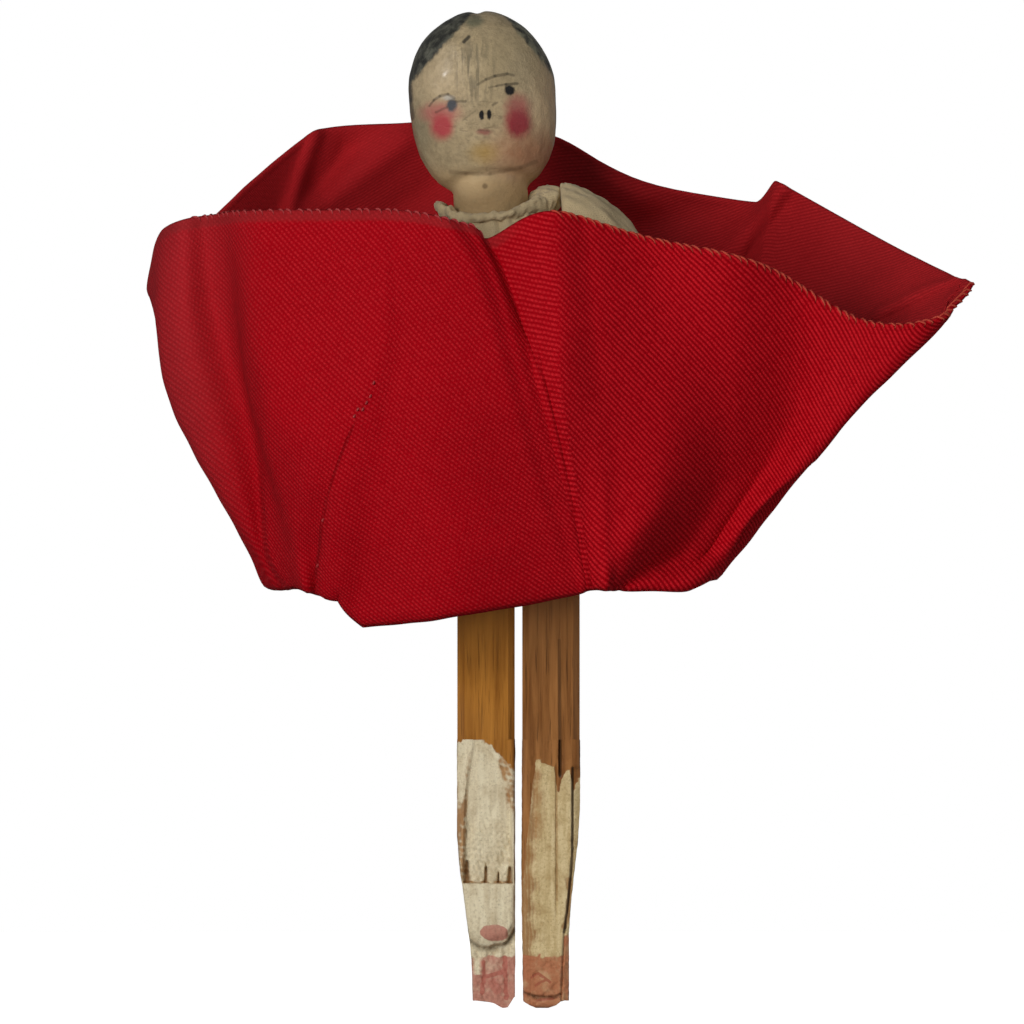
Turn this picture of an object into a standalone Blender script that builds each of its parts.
"""A peg-jointed wooden doll in a white cotton chemise, her long red skirt turned up round her like a bowl.

The doll faces -Y and stands on Z = 0. Her left side is at +X.
Lengths are in metres, and every size is written in millimetres times MM.
"""

import math

import bmesh
import bpy
import numpy as np
from mathutils import Vector

MM = 0.001

# Fits
CLEARANCE = 0.3 * MM  # air between neighbouring pieces
PEG_CLEARANCE = 0.2 * MM  # air round a peg in its hole

# Legs
LOWER_LEG_LENGTH = 43.6 * MM  # sole to knee axis
THIGH_LENGTH = 31.9 * MM  # knee axis to hip axis
LEG_WIDTH = 8.75 * MM
LEG_DEPTH = 8.4 * MM
LEG_GAP = 1.15 * MM  # between the two legs
LEG_CORNER = 1.0 * MM  # whittled flat along each edge
LEG_TONGUE = 3.0 * MM
HIP_PEG_RADIUS = 1.2 * MM
KNEE_PEG_RADIUS = 0.9 * MM
KNEE_DROP = 2.8 * MM  # knee axis to the faces that butt below it
KNEE_WEB = 1.5 * MM  # wood left in front of the knee slot
TOE_RISE = 9.6 * MM  # sole to the undercut of the right foot
BLOCK_RISE = 19.4 * MM  # sole to the stop cut above the right foot
STOP_CUT_SLANT = 0.3 * MM
WHITTLE_RUN = 3.0 * MM  # hollow whittled above the stop cut
UNDERCUT_SLANT = 0.4 * MM
TOE_ROUND = 3.0 * MM  # rounding of the right foot above its undercut

# Head and torso, turned in one piece
TORSO_LEAN = math.radians(5.0)  # towards the doll's right
SEAT_RISE = 6.5 * MM  # hip axis to the broadest of the seat
SEAT_RADIUS = 8.8 * MM
HIP_BLOCK_RISE = 8.0 * MM  # hip axis to the top of the flat hip block
WAIST_RISE = 14.5 * MM  # hip axis to the waist
WAIST_RADIUS = 7.2 * MM
CHEST_RISE = 35.0 * MM
CHEST_RADIUS = 9.6 * MM
NECK_RISE = 44.0 * MM  # hip axis to the foot of the neck
NECK_RADIUS = 5.9 * MM
NECK_LENGTH = 6.7 * MM
HEAD_RADIUS = 11.2 * MM
JAW_HEIGHT = 13.3 * MM  # chin to the broadest of the head
JAW_REACH = 16.3 * MM  # half axis of the oval that the jaw follows
CROWN_HEIGHT = 12.6 * MM  # broadest of the head to its top

# Arms
SHOULDER_RISE = 38.0 * MM  # hip axis to shoulder axis
UPPER_ARM_LENGTH = 18.0 * MM  # shoulder axis to elbow axis
FOREARM_LENGTH = 20.0 * MM  # elbow axis to finger tips
ARM_WIDTH = 5.2 * MM
ARM_TONGUE = 1.8 * MM
ARM_CORNER = 0.7 * MM
HAND_WIDTH = 4.6 * MM
HAND_THICKNESS = 1.9 * MM
SHOULDER_PEG_RADIUS = 1.1 * MM
SHOULDER_PEG_DEPTH = 6.0 * MM  # how far it goes into the torso
ELBOW_PEG_RADIUS = 0.8 * MM
SHOULDER_SWING = math.radians(8.0)  # forward of straight down, at rest
ELBOW_BEND = math.radians(74.0)  # at rest

# Chemise
COTTON = 0.6 * MM
BODICE_TOP = 0.8 * MM  # below the foot of the neck
BODICE_BELOW_WAIST = 4.0 * MM
ARMHOLE_RADIUS = 4.6 * MM
FRILL_RISE = 1.9 * MM  # above the foot of the neck
FRILL_RADIUS = 8.1 * MM
FRILL_CORD = 1.1 * MM
FRILL_WAVE = 0.25 * MM
FRILL_WAVES = 9
FRILL_TILT = math.radians(7.0)
SLEEVE_WIDTH = 16.4 * MM
SLEEVE_DEPTH = 16.0 * MM
LEFT_SLEEVE_ABOVE = 11.2 * MM  # top of the puff above the shoulder axis
RIGHT_SLEEVE_ABOVE = 7.6 * MM
SLEEVE_BELOW = 12.4 * MM

# Skirt
TWILL = 0.8 * MM
WAISTBAND_HEIGHT = 2.8 * MM
WAISTBAND_THICKNESS = 0.8 * MM
FOLD_DROP = 11.5 * MM  # hip axis to the bottom of the turned-up bowl
FOLD_ACROSS = 34.0 * MM  # half axes and centre of the oval that the fold lies on
FOLD_DEPTH = 27.5 * MM
FOLD_CENTRE_X = -4.3 * MM
FOLD_CENTRE_Y = -3.5 * MM
FOLD_ROUND = 2.5 * MM
CONE_SAG = 2.5 * MM  # how far the cloth hangs below a straight line from waist to fold
GORE_UNIT = 1.0 * MM  # length of 1 in the gores
# Each gore: hem across, depth and rise above the fold, fold angle in degrees, sag and bulge, in gore units.
GORES = (
    (-56.2, 0.0, 45.8, 180.0, 0.0, 1.5),  # right side, behind
    (-53.8, -16.0, 54.6, 200.0, 0.0, 7.0),  # right side strip
    (-45.8, -25.0, 56.9, 210.0, 0.0, 2.0),  # valley beside it
    (-39.4, -33.0, 57.4, 222.0, 1.2, 6.0),
    (-28.7, -36.0, 57.4, 238.0, 5.0, 8.0),  # front panel, its lowest corner
    (-16.5, -38.0, 57.2, 262.0, 3.6, 8.0),
    (-6.8, -40.0, 55.4, 290.0, 1.0, 7.5),  # edge of the main pleat
    (-4.0, -35.5, 53.3, 296.5, 0.0, 2.5),  # valley behind it
    (4.5, -36.6, 57.2, 303.0, 0.0, 6.5),  # ridge of the left panel
    (18.5, -33.0, 53.6, 316.0, 0.0, 4.2),
    (36.8, -29.5, 49.3, 332.0, 0.0, 2.0),
    (52.1, -27.0, 40.9, 345.0, -1.5, -0.5),
    (64.3, -24.5, 41.2, 355.0, -1.5, -1.0),
    (69.0, -18.0, 46.9, 365.0, -1.5, -2.0),  # tip at the left side
    (58.2, 6.0, 52.4, 380.0, -2.0, -1.0),
    (39.6, 25.0, 62.0, 400.0, -2.0, 3.0),  # peak behind
    (33.0, 31.0, 59.1, 412.0, -2.0, 3.0),  # dip beside it
    (18.5, 35.0, 62.6, 430.0, -2.0, 4.0),
    (5.6, 36.0, 69.4, 446.0, -1.5, 4.0),  # high behind the head
    (-5.9, 36.0, 71.4, 460.0, -1.0, 4.0),
    (-18.1, 35.0, 71.4, 477.0, -1.0, 4.0),
    (-31.0, 31.0, 70.2, 495.0, -0.5, 4.0),
    (-40.9, 20.0, 62.3, 512.0, -0.5, 5.0),
    (-50.9, 9.0, 52.4, 527.0, 0.0, 2.5),
)
GORE_STEPS = 2
SKIRT_ROWS = 13

# Places that follow from the sizes above
KNEE_Z = LOWER_LEG_LENGTH
HIP_Z = KNEE_Z + THIGH_LENGTH
LEG_X = (LEG_GAP + LEG_WIDTH) / 2
HIP_ROUND = LEG_DEPTH / 2
HIP_HALF = LEG_GAP / 2 + LEG_WIDTH
WAIST_Z = HIP_Z + WAIST_RISE
SHOULDER_Z = HIP_Z + SHOULDER_RISE
NECK_Z = HIP_Z + NECK_RISE
CHIN_Z = NECK_Z + NECK_LENGTH
FACE_Z = CHIN_Z + JAW_HEIGHT
BODICE_OUT = CHEST_RADIUS + CLEARANCE + COTTON
ARM_X = BODICE_OUT + 1.5 * CLEARANCE + ARM_WIDTH / 2
ELBOW_ROUND = ARM_WIDTH / 2
FOLD_Z = HIP_Z - FOLD_DROP

JOINT_MARK = 5.0 * MM  # drawn size of a joint's axes
TURN_STEPS = 28
ROD_SIDES = 20


def clear_scene():
    """Empties the scene, so that the script can be run again."""
    for thing in list(bpy.data.objects):
        bpy.data.objects.remove(thing, do_unlink=True)


def new_collection(name):
    found = bpy.data.collections.get(name)
    if found is None:
        found = bpy.data.collections.new(name)
        bpy.context.scene.collection.children.link(found)
    return found


def new_material(name, colour, roughness):
    made = bpy.data.materials.new(name)
    made.use_nodes = True
    shader = made.node_tree.nodes["Principled BSDF"]
    shader.inputs["Base Color"].default_value = (*colour, 1.0)
    shader.inputs["Roughness"].default_value = roughness
    return made


clear_scene()
PARTS = new_collection("dutch_doll")
CUTTERS = new_collection("dutch_doll_cutters")
FLESH = new_material("flesh_paint", (0.55, 0.42, 0.24), 0.4)
BARE_WOOD = new_material("bare_wood", (0.20, 0.09, 0.035), 0.6)
WHITE_PAINT = new_material("white_paint", (0.62, 0.57, 0.42), 0.45)
RED_TWILL = new_material("red_twill", (0.28, 0.025, 0.03), 0.9)
COTTON_CLOTH = new_material("cotton", (0.60, 0.56, 0.44), 0.9)


def empty(name, parent=None, place=(0, 0, 0), turn=(0, 0, 0)):
    made = bpy.data.objects.new(name, None)
    made.empty_display_size = JOINT_MARK
    made.location = place
    made.rotation_euler = turn
    made.parent = parent
    PARTS.objects.link(made)
    return made


def place_mesh(name, mesh, parent, material=None):
    """A piece in the part's collection, or with no material a hidden tool for a Boolean."""
    made = bpy.data.objects.new(name, mesh)
    made.parent = parent
    if material is None:
        made.hide_render = True
        made.display_type = "WIRE"
        CUTTERS.objects.link(made)
    else:
        mesh.materials.append(material)
        PARTS.objects.link(made)
    return made


def from_bmesh(name, bm, parent, material=None):
    mesh = bpy.data.meshes.new(name)
    bm.to_mesh(mesh)
    bm.free()
    return place_mesh(name, mesh, parent, material)


def block(name, low, high, parent, material=None):
    """A box between two corners."""
    bm = bmesh.new()
    bmesh.ops.create_cube(bm, size=1.0)
    low, high = Vector(low), Vector(high)
    bmesh.ops.scale(bm, vec=high - low, verts=bm.verts)
    bmesh.ops.translate(bm, vec=(low + high) / 2, verts=bm.verts)
    return from_bmesh(name, bm, parent, material)


def rod(name, radius, x_low, x_high, y, z, parent, material=None):
    """A round rod along X."""
    bm = bmesh.new()
    bmesh.ops.create_cone(
        bm, cap_ends=True, segments=ROD_SIDES, radius1=radius, radius2=radius, depth=x_high - x_low
    )
    quarter = [v.co.copy() for v in bm.verts]
    for vertex, was in zip(bm.verts, quarter):
        vertex.co = ((x_low + x_high) / 2 + was.z, y + was.x, z + was.y)
    return from_bmesh(name, bm, parent, material)


def ball(name, centre, radii, parent, material=None):
    """A ball stretched to the three radii."""
    bm = bmesh.new()
    bmesh.ops.create_uvsphere(bm, u_segments=20, v_segments=12, radius=1.0)
    bmesh.ops.scale(bm, vec=radii, verts=bm.verts)
    bmesh.ops.translate(bm, vec=centre, verts=bm.verts)
    return from_bmesh(name, bm, parent, material)


def whittled(name, stations, corner, parent, material=None):
    """A stick with a flat-cornered section at each (height, x low, x high, y low, y high), top first."""
    bm = bmesh.new()
    rings = []
    for height, x0, x1, y0, y1 in stations:
        cut = min(corner, (x1 - x0) / 4, (y1 - y0) / 4)
        outline = (
            (x0 + cut, y0),
            (x1 - cut, y0),
            (x1, y0 + cut),
            (x1, y1 - cut),
            (x1 - cut, y1),
            (x0 + cut, y1),
            (x0, y1 - cut),
            (x0, y0 + cut),
        )
        rings.append([bm.verts.new((x, y, height)) for x, y in outline])
    for ring, following in zip(rings, rings[1:]):
        for i in range(8):
            j = (i + 1) % 8
            bm.faces.new((following[i], following[j], ring[j], ring[i]))
    bm.faces.new(rings[0])
    bm.faces.new(rings[-1][::-1])
    return from_bmesh(name, bm, parent, material)


def turned(name, profile, parent, material, closed=False):
    """A lathe-turned piece from (radius, height) points that run from top to bottom."""
    mesh = bpy.data.meshes.new(name)
    count = len(profile)
    edges = [(i, i + 1) for i in range(count - 1)]
    if closed:
        edges.append((count - 1, 0))
    mesh.from_pydata([(r, 0.0, z) for r, z in profile], edges, [])
    made = place_mesh(name, mesh, parent, material)
    screw = made.modifiers.new("turning", "SCREW")
    screw.steps = TURN_STEPS
    screw.render_steps = TURN_STEPS
    screw.use_merge_vertices = True
    screw.merge_threshold = 0.00001
    return made


def combine(target, tool, operation):
    change = target.modifiers.new(tool.name, "BOOLEAN")
    change.operation = operation
    change.solver = "EXACT"
    change.object = tool


def cut(target, *tools):
    for tool in tools:
        combine(target, tool, "DIFFERENCE")


def join(target, *tools):
    for tool in tools:
        combine(target, tool, "UNION")


def eased(keys, steps):
    """Points that pass smoothly through (radius, height) keys, level at each key."""
    points = [keys[0]]
    for (r0, z0), (r1, z1) in zip(keys, keys[1:]):
        for k in range(1, steps + 1):
            t = k / steps
            ease = t * t * (3 - 2 * t)
            points.append((r0 + (r1 - r0) * ease, z0 + (z1 - z0) * t))
    return points


TORSO_PROFILE = eased(
    (
        (NECK_RADIUS, NECK_Z),
        (CHEST_RADIUS, HIP_Z + CHEST_RISE),
        (WAIST_RADIUS, WAIST_Z),
        (SEAT_RADIUS, HIP_Z + SEAT_RISE),
    ),
    4,
)


def torso_radius(height):
    radii, heights = zip(*reversed(TORSO_PROFILE))
    return float(np.interp(height, heights, radii))


def make_head_and_torso(torso):
    profile = []
    for k in range(7):
        angle = math.radians(90 - 15 * k)
        profile.append((HEAD_RADIUS * math.cos(angle), FACE_Z + CROWN_HEIGHT * math.sin(angle)))
    jaw_end = math.asin(JAW_HEIGHT / JAW_REACH)
    for k in range(1, 6):
        angle = jaw_end * k / 5
        profile.append((HEAD_RADIUS * math.cos(angle), FACE_Z - JAW_REACH * math.sin(angle)))
    profile.append((NECK_RADIUS, CHIN_Z - 0.2 * NECK_LENGTH))
    profile += TORSO_PROFILE
    profile.append((0.75 * SEAT_RADIUS, HIP_Z + HIP_ROUND))
    profile.append((0.0, HIP_Z + 0.9 * HIP_ROUND))
    body = turned("head_and_torso", profile, torso, FLESH)
    hip_box = block(
        "hip_box",
        (-HIP_HALF, -HIP_ROUND, HIP_Z),
        (HIP_HALF, HIP_ROUND, HIP_Z + HIP_BLOCK_RISE),
        torso.parent,
    )
    hip_round = rod("hip_round", HIP_ROUND, -HIP_HALF, HIP_HALF, 0, HIP_Z, torso.parent)
    join(body, hip_box, hip_round)
    slot_half = LEG_TONGUE / 2 + CLEARANCE
    for side, sign in (("left", 1), ("right", -1)):
        slot = block(
            f"hip_slot_{side}",
            (sign * LEG_X - slot_half, -2 * LEG_DEPTH, HIP_Z - LEG_DEPTH),
            (sign * LEG_X + slot_half, 2 * LEG_DEPTH, HIP_Z + HIP_ROUND + CLEARANCE),
            torso.parent,
        )
        ends = sorted((sign * (CHEST_RADIUS - SHOULDER_PEG_DEPTH), sign * 2 * CHEST_RADIUS))
        hole = rod(
            f"shoulder_hole_{side}", SHOULDER_PEG_RADIUS + PEG_CLEARANCE, *ends, 0, SHOULDER_Z, torso
        )
        cut(body, slot, hole)
    dowel_hole = rod(
        "hip_hole", HIP_PEG_RADIUS + PEG_CLEARANCE, -2 * HIP_HALF, 2 * HIP_HALF, 0, HIP_Z, torso.parent
    )
    cut(body, dowel_hole)
    rod("hip_dowel", HIP_PEG_RADIUS, -HIP_HALF, HIP_HALF, 0, HIP_Z, torso.parent, BARE_WOOD)


def make_leg(side, sign, root):
    """The thigh and the lower leg of one side, each built round its own joint."""
    hip = empty(f"joint_hip_{side}", root, (sign * LEG_X, 0, HIP_Z))
    knee = empty(f"joint_knee_{side}", hip, (0, 0, -THIGH_LENGTH))
    half, deep = LEG_WIDTH / 2, LEG_DEPTH / 2
    tongue = LEG_TONGUE / 2
    hole = tongue + CLEARANCE
    knee_z = -THIGH_LENGTH
    knee_round = KNEE_DROP - CLEARANCE
    butt = KNEE_DROP - CLEARANCE / 2
    shoulder = -HIP_ROUND - CLEARANCE
    thigh = whittled(
        f"thigh_{side}",
        [(z, -half, half, -deep, deep) for z in (shoulder, knee_z - butt)],
        LEG_CORNER,
        hip,
        BARE_WOOD,
    )
    tongue_box = block(
        f"hip_tongue_{side}", (-tongue, -deep, 1.5 * shoulder), (tongue, deep, 0), hip
    )
    tongue_round = rod(f"hip_tongue_round_{side}", HIP_ROUND, -tongue, tongue, 0, 0, hip)
    join(thigh, tongue_box, tongue_round)
    back = 2 * LEG_DEPTH
    wide = 2 * LEG_WIDTH
    relief_high = block(
        f"knee_relief_high_{side}",
        (-wide, knee_round, knee_z),
        (wide, back, knee_z + deep + 2 * CLEARANCE),
        hip,
    )
    relief_low = block(
        f"knee_relief_low_{side}", (-wide, 0, knee_z - back), (wide, back, knee_z), hip
    )
    knuckle = rod(f"knee_knuckle_{side}", knee_round, -half, half, 0, knee_z, hip)
    slot = block(
        f"knee_slot_{side}",
        (-hole, KNEE_WEB - deep, knee_z - back),
        (hole, back, knee_z + knee_round + CLEARANCE),
        hip,
    )
    knee_hole = KNEE_PEG_RADIUS + PEG_CLEARANCE
    cut(thigh, relief_high, relief_low)
    join(thigh, knuckle)
    cut(
        thigh,
        slot,
        rod(f"thigh_knee_hole_{side}", knee_hole, -wide, wide, 0, knee_z, hip),
        rod(f"thigh_hip_hole_{side}", HIP_PEG_RADIUS + PEG_CLEARANCE, -wide, wide, 0, 0, hip),
    )
    rod(f"knee_peg_{side}", KNEE_PEG_RADIUS, -half, half, 0, knee_z, hip, BARE_WOOD)

    top = -KNEE_DROP - CLEARANCE / 2
    floor = -LOWER_LEG_LENGTH
    if side == "right":
        # height, inner half, outer half, front and back of each station, from the leg's middle
        shape = (
            (top, half, half, deep, deep),
            (floor + BLOCK_RISE + WHITTLE_RUN, half, half, 0.70 * deep, deep),
            (floor + BLOCK_RISE + STOP_CUT_SLANT, half, half, 0.64 * deep, deep),
            (floor + BLOCK_RISE, half, 0.92 * half, 0.97 * deep, deep),
            (floor + TOE_RISE + TOE_ROUND, half, 0.86 * half, deep, deep),
            (floor + TOE_RISE + UNDERCUT_SLANT, half, 0.70 * half, 0.75 * deep, deep),
            (floor + TOE_RISE, half, 0.46 * half, 0.50 * deep, deep),
            (floor + 0.25 * TOE_RISE, half, 0.44 * half, 0.53 * deep, deep),
            (floor, 0.95 * half, 0.25 * half, 0.48 * deep, 0.9 * deep),
        )
    else:
        shape = (
            (top, half, half, deep, deep),
            (top - KNEE_DROP, half, half, deep, deep),
            (floor + 1.24 * BLOCK_RISE, half, 0.83 * half, deep, deep),
            (floor + 1.25 * TOE_RISE, half, 0.56 * half, deep, deep),
            (floor + 0.15 * TOE_RISE, half, 0.56 * half, deep, deep),
            (floor, 0.93 * half, 0.45 * half, 0.9 * deep, 0.9 * deep),
        )
    stations = []
    for z, inner, outer, front, behind in shape:
        low, high = sorted((-sign * inner, sign * outer))
        stations.append((z, low, high, -front, behind))
    lower = whittled(f"lower_leg_{side}", stations, LEG_CORNER, knee, WHITE_PAINT)
    tip = knee_round - CLEARANCE / 2
    stem = block(f"knee_tongue_{side}", (-tongue, -tip, 1.6 * top), (tongue, tip, 0), knee)
    tongue_end = rod(f"knee_tongue_round_{side}", tip, -tongue, tongue, 0, 0, knee)
    join(lower, stem, tongue_end)
    cut(lower, rod(f"lower_knee_hole_{side}", knee_hole, -wide, wide, 0, 0, knee))


def make_arm(side, sign, torso):
    """The upper arm, forearm and sleeve of one side, each hanging from its own joint."""
    shoulder = empty(
        f"joint_shoulder_{side}", torso, (sign * ARM_X, 0, SHOULDER_Z), (-SHOULDER_SWING, 0, 0)
    )
    elbow = empty(
        f"joint_elbow_{side}", shoulder, (0, 0, -UPPER_ARM_LENGTH), (-ELBOW_BEND, 0, 0)
    )
    half = ARM_WIDTH / 2
    tongue = ARM_TONGUE / 2
    wide = 2 * ARM_WIDTH
    elbow_z = -UPPER_ARM_LENGTH
    upper = whittled(
        f"upper_arm_{side}",
        [(z, -half, half, -half, half) for z in (0.0, elbow_z)],
        ARM_CORNER,
        shoulder,
        BARE_WOOD,
    )
    join(
        upper,
        rod(f"shoulder_end_{side}", half, -half, half, 0, 0, shoulder),
        rod(f"elbow_end_{side}", ELBOW_ROUND, -half, half, 0, elbow_z, shoulder),
    )
    gap = tongue + CLEARANCE
    peg_hole = ELBOW_PEG_RADIUS + PEG_CLEARANCE
    cut(
        upper,
        block(
            f"elbow_slot_{side}",
            (-gap, -wide, elbow_z - wide),
            (gap, wide, elbow_z + ELBOW_ROUND + CLEARANCE),
            shoulder,
        ),
        rod(f"upper_elbow_hole_{side}", peg_hole, -wide, wide, 0, elbow_z, shoulder),
        rod(
            f"upper_shoulder_hole_{side}",
            SHOULDER_PEG_RADIUS + PEG_CLEARANCE,
            -wide,
            wide,
            0,
            0,
            shoulder,
        ),
    )
    rod(f"elbow_peg_{side}", ELBOW_PEG_RADIUS, -half, half, 0, elbow_z, shoulder, BARE_WOOD)
    inner_end = -(ARM_X - CHEST_RADIUS + SHOULDER_PEG_DEPTH - CLEARANCE)
    ends = sorted((sign * inner_end, sign * half))
    rod(f"shoulder_peg_{side}", SHOULDER_PEG_RADIUS, *ends, 0, 0, shoulder, BARE_WOOD)

    start = -ELBOW_ROUND - CLEARANCE
    palm, thin = HAND_WIDTH / 2, HAND_THICKNESS / 2
    wrist = start + 0.35 * (FOREARM_LENGTH - ELBOW_ROUND) * -1 - 0.25 * FOREARM_LENGTH
    tip = -FOREARM_LENGTH
    shape = (
        (start, half, half),
        (0.5 * (start + wrist), 0.95 * half, 0.9 * half),
        (wrist, 0.65 * half, 0.6 * half),
        (wrist + 0.4 * (tip - wrist), palm, thin),
        (wrist + 0.8 * (tip - wrist), palm, 0.9 * thin),
        (tip, 0.55 * palm, 0.7 * thin),
    )
    stations = [(z, -x, x, -y, y) for z, x, y in shape]
    forearm = whittled(f"forearm_{side}", stations, ARM_CORNER, elbow, BARE_WOOD)
    end = ELBOW_ROUND - CLEARANCE
    join(
        forearm,
        block(f"elbow_tongue_{side}", (-tongue, -end, 1.5 * start), (tongue, end, 0), elbow),
        rod(f"elbow_tongue_round_{side}", end, -tongue, tongue, 0, 0, elbow),
    )
    cut(forearm, rod(f"forearm_elbow_hole_{side}", peg_hole, -wide, wide, 0, 0, elbow))

    above = LEFT_SLEEVE_ABOVE if side == "left" else RIGHT_SLEEVE_ABOVE
    sleeve = ball(
        f"sleeve_{side}",
        (0, 0, (above - SLEEVE_BELOW) / 2),
        (SLEEVE_WIDTH / 2, SLEEVE_DEPTH / 2, (above + SLEEVE_BELOW) / 2),
        shoulder,
        COTTON_CLOTH,
    )
    bodice_side = sign * (BODICE_OUT + CLEARANCE - ARM_X)
    low, high = sorted((bodice_side, -sign * 2 * SLEEVE_WIDTH))
    channel = half + CLEARANCE
    open_side, closed_side = sorted((-sign * SLEEVE_WIDTH, sign * channel))
    cut(
        sleeve,
        block(f"sleeve_side_{side}", (low, -wide * 2, -wide * 4), (high, wide * 2, wide * 4), shoulder),
        block(
            f"sleeve_channel_{side}",
            (open_side, -channel, -2 * UPPER_ARM_LENGTH),
            (closed_side, channel, channel),
            shoulder,
        ),
    )


def make_chemise(torso):
    top = NECK_Z - BODICE_TOP
    bottom = WAIST_Z - BODICE_BELOW_WAIST
    heights = np.linspace(top, bottom, 11)
    inside = [(torso_radius(z) + CLEARANCE, z) for z in heights]
    outside = [(r + COTTON, z) for r, z in inside]
    bodice = turned("chemise_bodice", outside + inside[::-1], torso, COTTON_CLOTH, closed=True)
    cut(
        bodice,
        rod("armholes", ARMHOLE_RADIUS, -2 * CHEST_RADIUS, 2 * CHEST_RADIUS, 0, SHOULDER_Z, torso),
    )
    curve = bpy.data.curves.new("neck_frill", "CURVE")
    curve.dimensions = "3D"
    curve.bevel_depth = FRILL_CORD
    curve.bevel_resolution = 1
    count = 4 * FRILL_WAVES
    spline = curve.splines.new("POLY")
    spline.points.add(count - 1)
    for k, point in enumerate(spline.points):
        angle = 2 * math.pi * k / count
        wave = FRILL_WAVE * math.sin(FRILL_WAVES * angle)
        radius = FRILL_RADIUS + wave
        point.co = (radius * math.cos(angle), radius * math.sin(angle), 0.0, 1.0)
    spline.use_cyclic_u = True
    frill = bpy.data.objects.new("neck_frill", curve)
    frill.parent = torso
    frill.location = (0, 0, NECK_Z + FRILL_RISE)
    frill.rotation_euler = (0, -FRILL_TILT, 0)
    curve.materials.append(COTTON_CLOTH)
    PARTS.objects.link(frill)


def smooth(points, steps, closed):
    """A curve through the points of axis 0 (Catmull-Rom), with this many steps from point to point."""
    count = len(points)
    if closed:
        spans = np.arange(count)
        before, after, beyond = (spans - 1) % count, (spans + 1) % count, (spans + 2) % count
    else:
        spans = np.arange(count - 1)
        before, after = np.maximum(spans - 1, 0), spans + 1
        beyond = np.minimum(spans + 2, count - 1)
    a, b, c, d = points[before], points[spans], points[after], points[beyond]
    rows = []
    for k in range(steps):
        t = k / steps
        rows.append(
            b
            + 0.5 * t * (c - a)
            + t * t * (a - 2.5 * b + 2 * c - 0.5 * d)
            + t * t * t * (1.5 * (b - c) + 0.5 * (d - a))
        )
    curve = np.stack(rows, axis=1).reshape(-1, *points.shape[1:])
    return curve if closed else np.concatenate([curve, points[-1:]])


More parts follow.
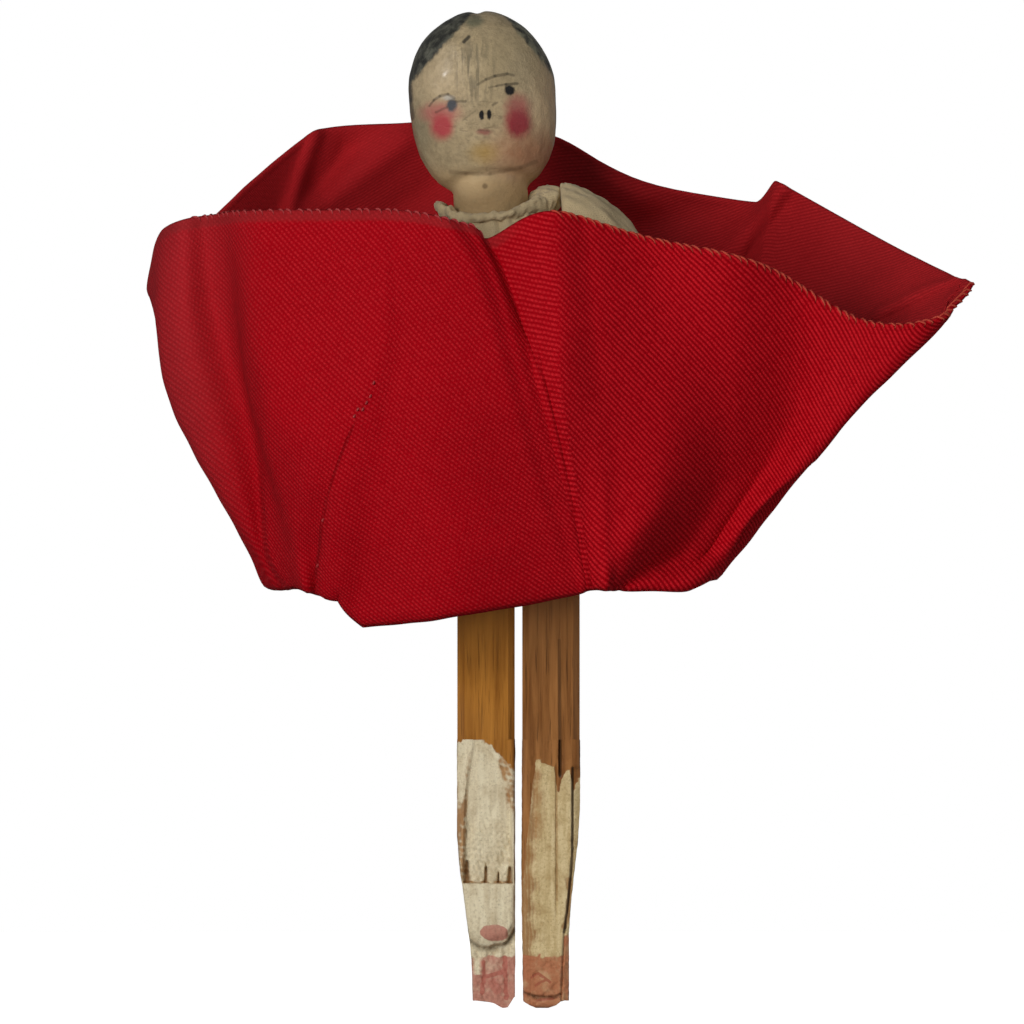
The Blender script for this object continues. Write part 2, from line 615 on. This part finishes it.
def make_skirt(root, torso):
    """The waistband, and the skirt as a loft from the waist out to the fold and up to the hem."""
    half_band = WAISTBAND_HEIGHT / 2
    heights = (WAIST_Z + half_band, WAIST_Z - half_band)
    inner = max(torso_radius(z) for z in heights) + 2 * CLEARANCE + COTTON
    outer = inner + WAISTBAND_THICKNESS
    band = [(outer, z) for z in heights] + [(inner, z) for z in reversed(heights)]
    turned("skirt_waistband", band, torso, RED_TWILL, closed=True)

    gores = np.array(GORES)
    hem = gores[:, :3] * GORE_UNIT + (0, 0, FOLD_Z)
    angle = np.radians(gores[:, 3])
    out = np.stack([np.cos(angle), np.sin(angle), 0 * angle], axis=1)
    up = np.array((0.0, 0.0, 1.0))
    fold = out * (FOLD_ACROSS, FOLD_DEPTH, 0)
    fold += (FOLD_CENTRE_X, FOLD_CENTRE_Y, FOLD_Z)
    fold[:, 2] -= gores[:, 4] * GORE_UNIT
    bulge = gores[:, 5:] * GORE_UNIT
    waist = out * (outer + CLEARANCE + TWILL / 2)
    lean = WAIST_RISE * math.tan(TORSO_LEAN)
    waist += (-lean, 0, WAIST_Z)
    waist[:, 2] += waist[:, 0] * math.tan(TORSO_LEAN)
    inner_fold = fold - out * FOLD_ROUND + up * FOLD_ROUND
    belly = (fold + hem) / 2 + out * bulge
    outer_fold = fold + 0.22 * (belly - fold) + out * 0.15 * FOLD_ROUND
    rings = np.stack(
        [
            waist,
            (waist + inner_fold) / 2 - up * CONE_SAG,
            inner_fold,
            fold,
            outer_fold,
            belly,
            (belly + hem) / 2 + out * 0.25 * bulge,
            hem,
        ]
    )
    along = smooth(rings, 8, closed=False)
    lengths = np.linalg.norm(np.diff(along, axis=0), axis=2).mean(axis=1)
    travelled = np.concatenate([[0.0], np.cumsum(lengths)])
    wanted = np.linspace(0.0, travelled[-1], SKIRT_ROWS)
    rows = [np.abs(travelled - w).argmin() for w in wanted]
    grid = smooth(along[rows].transpose(1, 0, 2), GORE_STEPS, closed=True)
    columns = len(grid)
    faces = []
    for i in range(columns):
        j = (i + 1) % columns
        for k in range(SKIRT_ROWS - 1):
            faces.append(
                (i * SKIRT_ROWS + k, i * SKIRT_ROWS + k + 1, j * SKIRT_ROWS + k + 1, j * SKIRT_ROWS + k)
            )
    mesh = bpy.data.meshes.new("skirt")
    mesh.from_pydata(grid.reshape(-1, 3).tolist(), [], faces)
    skirt = place_mesh("skirt", mesh, root, RED_TWILL)
    shell = skirt.modifiers.new("cloth", "SOLIDIFY")
    shell.thickness = TWILL
    shell.offset = 0.0


def stand_on_floor(root):
    """Moves the whole doll so that her box is centred on the origin and stands on the floor."""
    bpy.context.view_layer.update()
    graph = bpy.context.evaluated_depsgraph_get()
    corners = []
    for thing in PARTS.objects:
        if thing.type == "EMPTY":
            continue
        evaluated = thing.evaluated_get(graph)
        mesh = evaluated.to_mesh()
        points = np.empty(3 * len(mesh.vertices), np.float32)
        mesh.vertices.foreach_get("co", points)
        world = np.array(evaluated.matrix_world)
        points = points.reshape(-1, 3) @ world[:3, :3].T + world[:3, 3]
        corners += [points.min(axis=0), points.max(axis=0)]
        evaluated.to_mesh_clear()
    low, high = np.min(corners, axis=0), np.max(corners, axis=0)
    root.location -= Vector(((low[0] + high[0]) / 2, (low[1] + high[1]) / 2, low[2]))


def main():
    root = empty("dutch_doll_root")
    torso = empty("torso_lean", root)
    # Leaning about the hip axis, written as the place where that leaves the torso's own origin.
    torso.rotation_euler = (0, -TORSO_LEAN, 0)
    torso.location = (HIP_Z * math.sin(TORSO_LEAN), 0, HIP_Z * (1 - math.cos(TORSO_LEAN)))
    make_head_and_torso(torso)
    make_chemise(torso)
    make_skirt(root, torso)
    for side, sign in (("left", 1), ("right", -1)):
        make_leg(side, sign, root)
        make_arm(side, sign, torso)
    stand_on_floor(root)


main()
